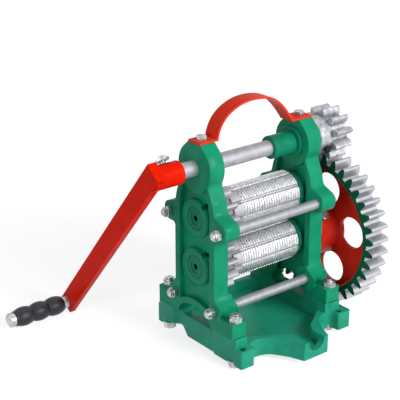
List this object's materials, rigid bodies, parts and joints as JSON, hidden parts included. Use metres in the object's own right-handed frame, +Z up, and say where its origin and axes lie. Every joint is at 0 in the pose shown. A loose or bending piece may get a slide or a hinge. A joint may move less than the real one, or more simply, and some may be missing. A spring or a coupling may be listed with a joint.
{
  "type": "hand-cranked sugarcane press",
  "caption": "Hand-cranked sugarcane press: fluted rollers between ribbed cast side plates, an exposed gear train, a carrying strap and a drip tray with a pouring spout.",
  "frame": {"origin": "centre of the bench-bolt pattern, on the underside of the tray lugs", "axes": "+X from the crank side to the gear side along the rollers, -Y towards the spout, +Z up"},
  "size_m": [0.4405, 0.3593, 0.3549],
  "materials": {
    "green_paint": "satin enamel over casting",
    "bush_paint": "satin enamel",
    "bearing_metal": "machined",
    "gear_paint": "satin enamel, green rim, bare teeth",
    "pinion_metal": "machined casting",
    "red_arm": "gloss enamel",
    "red_strap": "gloss enamel",
    "shaft_steel": "turned",
    "roller_steel": "turned, fluted",
    "tube_steel": "drawn",
    "zinc": "bright zinc plate",
    "key_steel": "ground",
    "dark_screw": "blackened",
    "grip_plastic": "moulded"
  },
  "bodies": {
    "frame": {"base_tray": "green_paint", "near_side_plate": "green_paint", "far_side_plate": "green_paint", "near_upper_bush": "bush_paint", "near_lower_bush": "bush_paint", "far_upper_bush": "bush_paint", "far_lower_bush": "bearing_metal", "near_crank_bush": "bearing_metal", "crank_sleeve_bush": "bush_paint", "tie_bolts": "zinc", "tie_nuts": "zinc", "upper_spacer_tubes": "tube_steel", "lower_spacer_tubes": "tube_steel", "foot_bolts": "zinc", "foot_nuts": "zinc", "foot_washers": "zinc", "strap_handle": "red_strap", "strap_bolts": "zinc"},
    "crank": {"crank_shaft": "shaft_steel", "crank_arm": "red_arm", "crank_clamp_bolt": "zinc", "pinion": "pinion_metal", "pinion_key": "key_steel", "pinion_set_screw": "dark_screw", "grip_spindle": "zinc", "spindle_nut": "zinc"},
    "grip": {"grip_sleeve": "grip_plastic"},
    "lower_roller": {"lower_roller": "roller_steel", "drive_gear": "gear_paint", "gear_key": "key_steel", "gear_set_screw": "zinc"},
    "upper_roller": {"upper_roller": "roller_steel"}
  },
  "joints": [
    {"name": "lower_roller_spin", "type": "hinge", "parent": "frame", "child": "lower_roller", "pos_m": [0, 0, 0.12], "axis": [1, 0, 0], "continuous": true},
    {"name": "crank_spin", "type": "hinge", "parent": "frame", "child": "crank", "pos_m": [0, 0, 0.265], "axis": [1, 0, 0], "continuous": true},
    {"name": "upper_roller_spin", "type": "hinge", "parent": "frame", "child": "upper_roller", "pos_m": [0, 0, 0.192], "axis": [1, 0, 0], "continuous": true},
    {"name": "grip_spin", "type": "hinge", "parent": "crank", "child": "grip", "pos_m": [-0.2325, 0.21073, 0.00845], "axis": [1, 0, 0], "continuous": true}
  ],
  "couplings": [
    {"joint": "crank_spin", "follows": "lower_roller_spin", "ratio": -3.3636},
    {"joint": "upper_roller_spin", "follows": "lower_roller_spin", "ratio": -1}
  ]
}
